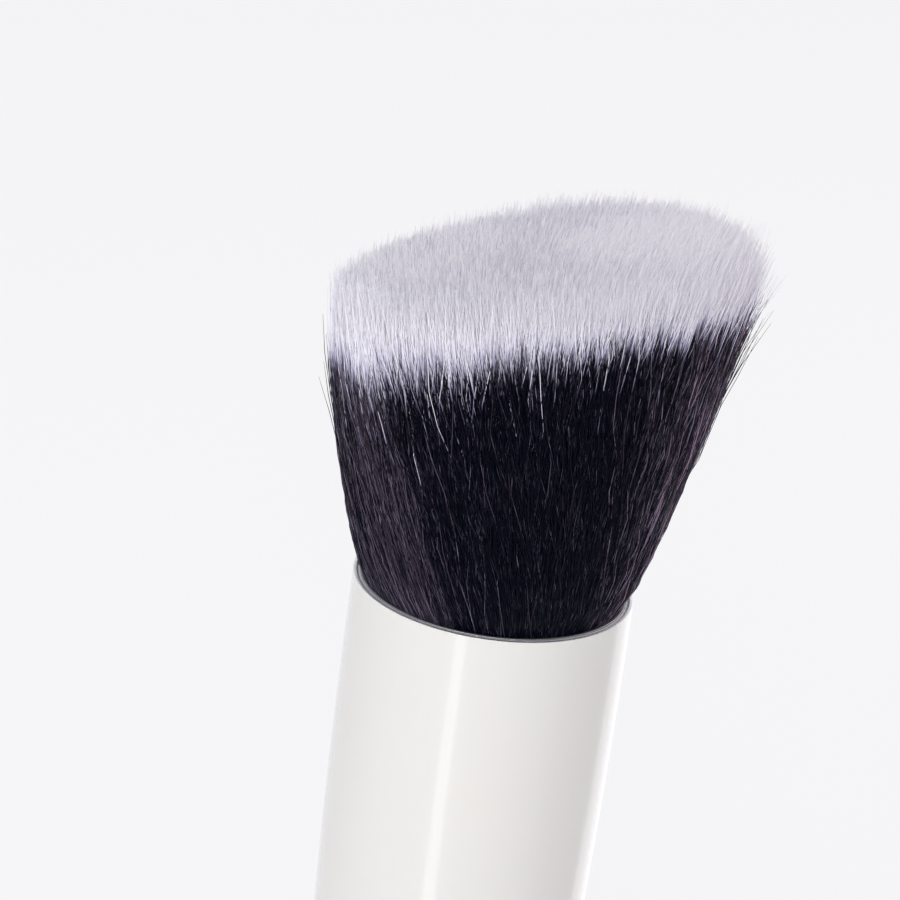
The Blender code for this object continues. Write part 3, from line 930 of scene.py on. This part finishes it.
def centre_lines(across, around, tips, heights, chance, waving, stray):
    """Centres of all levels as (n, levels, 3), and the angle that each tube is spun by.

    A centre lies at its distance out on the twisted angle, plus a sideways shift of
    lean * rise + wave * sin(2 pi h / length + phase), plus the lock's shift * rise^2. rise
    is h / tip, from 0 to 1. Inner filaments also bend as bend * rise^3 * (1 - rise), so
    that their tips lean over as a swept tuft's do.
    """
    edge = across**EDGE_SHARE_POWER
    rise = np.clip(heights / tips, 0, 1)
    free = 1 - np.exp(-np.maximum(heights, 0) / FREE_LENGTH)
    phase = chance.uniform(0, 2 * np.pi, (3, *across.shape))
    length = WAVE_LENGTH * chance.uniform(*WAVE_SHARES, (2, *across.shape))
    weave = (1 - np.cos(2 * np.pi * heights / length[0] + phase[0])) / 2
    weave = WEAVE_DEPTH * weave * free * edge * waving
    radius = distance_out(across, around, heights, rise, weave, chance, stray)

    spots = tip_spots(across, around, tips)
    lean = look_up_smooth(comb_lean, spots, COMB_SIZE)[:, None] * COMB_SHIFT
    lean = lean + chance.normal(size=across.shape) * OWN_SIDEWAYS
    wave = WAVE * np.sin(2 * np.pi * heights / length[1] + phase[1])
    sideways = lean * rise + wave * free * waving
    outwards = chance.normal(size=across.shape) * OWN_OUTWARDS * (1 - EDGE_HOLD * edge)
    radius = radius + outwards * rise
    shift = look_up(lock_lean, spots, LOCK_SIZE)[:, None] * LOCK_SHIFT * rise[..., None] ** 2
    reach = MIDDLE_BEND + across * right_of(around)[0]
    bend = TIP_BEND * reach * (1 - edge) * rise**3 * (1 - rise)

    angle = around - twist_of(around) * (1 - rise) ** TWIST_POWER
    out = np.stack([np.cos(angle), np.sin(angle)], -1)
    aside = np.stack([-np.sin(angle), np.cos(angle)], -1)
    right = np.array([math.cos(RIGHT_SIDE), math.sin(RIGHT_SIDE)])
    plane = radius[..., None] * out + sideways[..., None] * aside + shift
    plane = plane - bend[..., None] * right
    return np.concatenate([plane, (mouth_z + heights)[..., None]], -1), phase[2]

# %% [markdown]
# A filament's colour follows its height over a border of its own. Some are dyed late:
# their border lies a tail's length lower, and above it the colour comes on slowly until it
# meets that of the others. Most filaments are dark below. The few light ones are made to
# gather at the two sides, and the tints are lighter at the right: this is painted sheen,
# for the light from behind that shines along and through the filaments at the tuft's
# edges.

# %% Where the colour changes, and which tint each filament has
PALE_LENGTH = 6.05 * MILLIMETRE
PALE_SLOPE = -0.06
SIDES_PALE = 1.6 * MILLIMETRE
RIGHT_PALE = 1.9 * MILLIMETRE
BORDER_SCATTER = 0.58 * MILLIMETRE
LATE_DYE_SHARE = 0.33
LATE_DYE_SKEW = 0.30
LATE_DYE_LENGTH = 1.7 * MILLIMETRE
STRAY_BORDER_RISE = 5.1 * MILLIMETRE
TAIL_RATE = 0.30
LIGHT_SHARE = 0.05
# Painted sheen: more light filaments at the two sides, for light from behind that shines along and
# through them.
PAINTED_SIDE_SHEEN_SHARE = 0.74
PAINTED_SIDE_SHEEN_SKEW = 0.20
SIDE_FROM = 0.42
SIDE_FROM_SKEW = 0.28
SIDE_SPAN = 0.30
DARK_TINT = 0.66
DARK_TINT_SHAPE = (1.5, 1.9)
# Painted sheen: tints lighter at the right, for the light from behind at the right.
PAINTED_RIGHT_SHEEN_TINT = 0.08
LIGHT_TINT = 0.91
PAINTED_RIGHT_SHEEN_SKEW = 0.07
LIGHT_FROM = 0.72
LIGHT_TINT_SHAPE = (1.3, 1.3)


def above_border(across, around, tips, heights, chance, stray):
    """How far each level lies above its filament's colour border."""
    rightwards, _ = right_of(around)
    spots = tip_spots(across, around, tips)
    border = plane_height(across, around, tips) - PALE_LENGTH - PALE_SLOPE * spots[:, :1]
    border = border - SIDES_PALE * rightwards**2 - RIGHT_PALE * rightwards**3
    border = border + look_up(lock_border, spots, LOCK_SIZE)[:, None] * LOCK_BORDER
    border = border + chance.normal(size=across.shape) * BORDER_SCATTER
    late = chance.random(across.shape) < LATE_DYE_SHARE - LATE_DYE_SKEW * rightwards
    tail = late * chance.exponential(LATE_DYE_LENGTH, across.shape)
    above = heights - (border + stray * STRAY_BORDER_RISE)
    above_tail = above + tail
    return np.where(above_tail < 0, above_tail, np.maximum(above, TAIL_RATE * above_tail))


def tints_of(around, chance):
    """The tint of each filament. Whether it is at the side is judged halfway up its twist."""
    _, right_share = right_of(around)
    rightwards, _ = right_of(around - 0.5 * twist_of(around))
    side = (np.abs(rightwards) - SIDE_FROM - SIDE_FROM_SKEW * rightwards) / SIDE_SPAN
    # Painted sheen: light filaments are made more common at the two sides.
    painted_side_sheen = (PAINTED_SIDE_SHEEN_SHARE + PAINTED_SIDE_SHEEN_SKEW * rightwards) * np.clip(side, 0, 1)
    light = chance.random(around.shape) < LIGHT_SHARE + painted_side_sheen
    dark_tints = DARK_TINT * chance.beta(*DARK_TINT_SHAPE, around.shape)
    # Painted sheen: dark and light tints are both lighter at the right.
    dark_tints = dark_tints + PAINTED_RIGHT_SHEEN_TINT * right_share
    lightest = LIGHT_TINT + PAINTED_RIGHT_SHEEN_SKEW * right_share
    spread = chance.beta(*LIGHT_TINT_SHAPE, around.shape)
    return np.where(light, lightest - (lightest - LIGHT_FROM) * spread, dark_tints)

# %% [markdown]
# The filaments come in three kinds. Of the inner ones only the tips show, so four levels
# are enough. The outer ones show along their whole length and get a dozen. A few strays
# stand a little off the sides, which every real brush has.

# %% Inner, outer and stray filaments
TIP_RADIUS = 0.013 * MILLIMETRE
TAPER_LENGTH = 2.2 * MILLIMETRE
THICKNESS_SHARES = (0.75, 1.2)
INNER_PIECES = 6
INNER_COUNT = 9000
INNER_LEVELS = (0.0, 0.42, 0.78, 1.0)
INNER_THICKNESS = 0.092 * MILLIMETRE
INNER_SEED = 100
OUTER_PIECES = 5
OUTER_COUNT = 2400
OUTER_LEVELS = (0.0, 0.05, 0.12, 0.21, 0.30, 0.39, 0.48, 0.57, 0.66, 0.75, 0.86, 1.0)
OUTER_THICKNESS = 0.070 * MILLIMETRE
OUTER_FROM = 0.92
OUTER_CROWDING = 1.7
OUTER_SEED = 200
STRAY_COUNT = 80
STRAY_FROM = 0.98
STRAY_BUNCHED = 0.6
STRAY_SPREAD = 0.30
STRAY_LEFT_SHARE = 0.3
STRAY_SEED = 300


def scattered(chance, count, low, high, crowding=1.0):
    """Places spread over a ring: across^2 = low^2 + (high^2 - low^2) * u^(1 / crowding).

    With a crowding of 1 they are spread evenly, and more crowds them to the outer edge.
    """
    share = chance.random((count, 1)) ** (1 / crowding)
    across = np.sqrt(low**2 + (high**2 - low**2) * share)
    return across, chance.uniform(0, 2 * np.pi, (count, 1))


def grow(name, across, around, levels, thickness, chance, waving=1.0, stray=0.0):
    """Grow filaments from their places in the mouth, and taper them towards their tips."""
    tips = tip_heights(across, around, chance, stray)
    heights = -ROOT_DEPTH + (tips + ROOT_DEPTH) * np.asarray(levels)
    centres, spin = centre_lines(across, around, tips, heights, chance, waving, stray)
    above = above_border(across, around, tips, heights, chance, stray)
    taper = np.clip((tips - heights) / TAPER_LENGTH, 0, 1)
    radii = TIP_RADIUS + (thickness / 2 - TIP_RADIUS) * taper
    radii = radii * chance.uniform(*THICKNESS_SHARES, across.shape)
    piece = tubes(name, centres, radii, spin, tints_of(around, chance), v_of(above))
    placed(piece, filament_dye, "filament", "bristle_tuft")


for number in range(INNER_PIECES):
    chance = np.random.default_rng(INNER_SEED + number)
    places = scattered(chance, INNER_COUNT, 0, OUTER_FROM)
    name = f"filaments_inner_{number + 1}"
    grow(name, *places, INNER_LEVELS, INNER_THICKNESS, chance, waving=0.0)

for number in range(OUTER_PIECES):
    chance = np.random.default_rng(OUTER_SEED + number)
    places = scattered(chance, OUTER_COUNT, OUTER_FROM, 1, OUTER_CROWDING)
    grow(f"filaments_outer_{number + 1}", *places, OUTER_LEVELS, OUTER_THICKNESS, chance)

chance = np.random.default_rng(STRAY_SEED)
across, around = scattered(chance, STRAY_COUNT, STRAY_FROM, 1)
sides = RIGHT_SIDE + np.pi * (chance.random(across.shape) < STRAY_LEFT_SHARE)
bunched = sides + STRAY_SPREAD * chance.normal(size=across.shape)
around = np.where(chance.random(across.shape) < STRAY_BUNCHED, bunched, around)
grow("filaments_stray", across, around, OUTER_LEVELS, OUTER_THICKNESS, chance, stray=1.0)

# %% [markdown]
# ## The root of the tuft
# Down in the cup the filaments are packed so tightly that they read as one dark mass. It
# is a turned plug with a waist, where the thread ties it.

# %% Root bundle
ROOT_TOP_DEPTH = 1.2 * MILLIMETRE
ROOT_FLARE = 0.3 * MILLIMETRE
WAIST_SLOPE = 0.8 * MILLIMETRE
THREAD_DIAMETER = 0.5 * MILLIMETRE
root_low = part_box("bristle_tuft")[0]
thread_low, thread_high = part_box("binding_thread")


def make_root_bundle():
    """A plug from below the mouth to the root ends, drawn in at the waist."""
    waist = thread_high.x - THREAD_DIAMETER - SEAM_GAP
    end = waist + ROOT_FLARE
    full = cup_bore - SEAM_GAP
    top = mouth_z - ROOT_TOP_DEPTH
    tie_top = thread_high.z + SEAM_GAP
    tie_low = thread_low.z - SEAM_GAP
    lower = [(0, root_low.z), (end, root_low.z), (end, tie_low - WAIST_SLOPE)]
    tied = [(waist, tie_low), (waist, tie_top), (full, tie_top + WAIST_SLOPE)]
    outline = rounded([*lower, *tied, (full, top), (0, top)], SEAM_ROUND)
    packed = Finish("packed_roots")
    dots = packed.noise(9000.0, 2.0, (1, 1, 0.02))
    finish = packed.done(
        Base_Color=packed.mix(dots, (0.006, 0.006, 0.010), (0.020, 0.018, 0.026)),
        Roughness=0.6,
        Normal=packed.bump(dots, 0.03 * MILLIMETRE),
    )
    placed(turned("root_bundle", outline), finish, "filament", "bristle_tuft")


make_root_bundle()

# %% [markdown]
# ## The tie and what lies inside
# A few turns of waxed thread hold the roots together. The thread is three plies twisted
# about each other, so its cross-section is a circle with three soft lobes that turn as the
# thread runs on. The pieces that nobody sees keep the solids' own shapes, and get a
# finish each: amber potting resin, turned steel and grained grey plastic.

# %% The binding thread
THREAD_TURNS = 4
STEPS_PER_TURN = 96
THREAD_RING = 15
PLY_COUNT = 3
PLY_DEPTH = 0.10
LOBES_PER_TURN = 26


def make_thread():
    """A helix tube with lobes.

    Its middle line is at (R cos t, R sin t, low + pitch t / 2 pi). Round it runs a ring of
    radius r (1 - d + d cos(3 (a - twist))), a being the angle in the ring.
    """
    radius = THREAD_DIAMETER / 2
    path_radius = thread_high.x - radius
    run = np.linspace(0, 1, STEPS_PER_TURN * THREAD_TURNS + 1)[:, None]
    turn = 2 * np.pi * THREAD_TURNS * run
    ring = np.arange(THREAD_RING) / THREAD_RING * 2 * np.pi
    twist = 2 * np.pi * (LOBES_PER_TURN * THREAD_TURNS) * run / PLY_COUNT
    thick = radius * (1 - PLY_DEPTH + PLY_DEPTH * np.cos(PLY_COUNT * (ring - twist)))
    reach = path_radius + thick * np.cos(ring)
    low, high = thread_low.z + radius, thread_high.z - radius
    height = low + (high - low) * run + thick * np.sin(ring)
    grid = np.stack([reach * np.cos(turn), reach * np.sin(turn), height], -1)
    index = np.arange(grid.shape[0] * THREAD_RING).reshape(-1, THREAD_RING)
    near, far = index[:-1], index[1:]
    quads = np.stack([near, far, np.roll(far, -1, 1), np.roll(near, -1, 1)], -1)
    ends = grid[[0, -1]].mean(1)
    first = np.full(THREAD_RING, index.size)
    caps = [
        np.stack([index[0], np.roll(index[0], -1), first], -1),
        np.stack([np.roll(index[-1], -1), index[-1], first + 1], -1),
    ]
    points = np.concatenate([grid.reshape(-1, 3), ends])
    waxed = Finish("waxed_thread")
    fibres = waxed.noise(7000.0, 4.0, (1, 1, 0.4))
    wax = waxed.noise(700.0)
    finish = waxed.done(
        Base_Color=waxed.mix(fibres, (0.66, 0.63, 0.56), (0.86, 0.84, 0.78)),
        Roughness=0.50 + wax * 0.25,
        Normal=waxed.bump(fibres, 0.02 * MILLIMETRE),
    )
    piece = mesh_from_arrays("thread_winding", points, [quads.reshape(-1, 4), *caps])
    placed(piece, finish, "thread", "binding_thread")


make_thread()


# %% Finishes for the solids that stay as they are
def dress(node, finish):
    """Give a solid of the frame its finish."""
    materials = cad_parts[node].data.materials
    materials.clear()
    materials.append(finish)


def potting_resin():
    """Amber resin with cloudy streaks and tiny bubbles, cast and glossy."""
    resin = Finish("potting_resin")
    clouds = resin.noise(350.0, 3.0, (1, 1, 0.3))
    bubbles = resin.noise(4200.0, 1.0).step_between(0.66, 0.72)
    amber = resin.mix(clouds, (0.42, 0.27, 0.09), (0.62, 0.46, 0.20))
    return resin.done(
        Base_Color=resin.mix(bubbles, amber, (0.80, 0.70, 0.48)),
        Roughness=0.16 + clouds * 0.12,
        Coat_Weight=0.4,
        Normal=resin.bump(bubbles, 0.02 * MILLIMETRE),
    )


def grained_plastic():
    """Moulded grey plastic with a fine spark-eroded grain."""
    plastic = Finish("grained_plastic")
    grain = plastic.noise(5200.0, 2.0)
    clouds = plastic.noise(160.0)
    return plastic.done(
        Base_Color=plastic.mix(clouds, (0.40, 0.40, 0.41), (0.50, 0.50, 0.51)),
        Roughness=0.45 + grain * 0.2,
        Normal=plastic.bump(grain, 0.012 * MILLIMETRE),
    )


dress("root_resin", potting_resin())
dress("handle_weight", cut_metal("turned_steel", (0.48, 0.48, 0.50), 5000))
dress("weight_retainer", grained_plastic())

# %% Sizes, view settings and the end
scene.view_settings.view_transform = "Standard"
dressed_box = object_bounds()
for label, box in (("solids", solids_box), ("dressed", dressed_box)):
    print(label, [[round(v, 4) for v in corner] for corner in box])
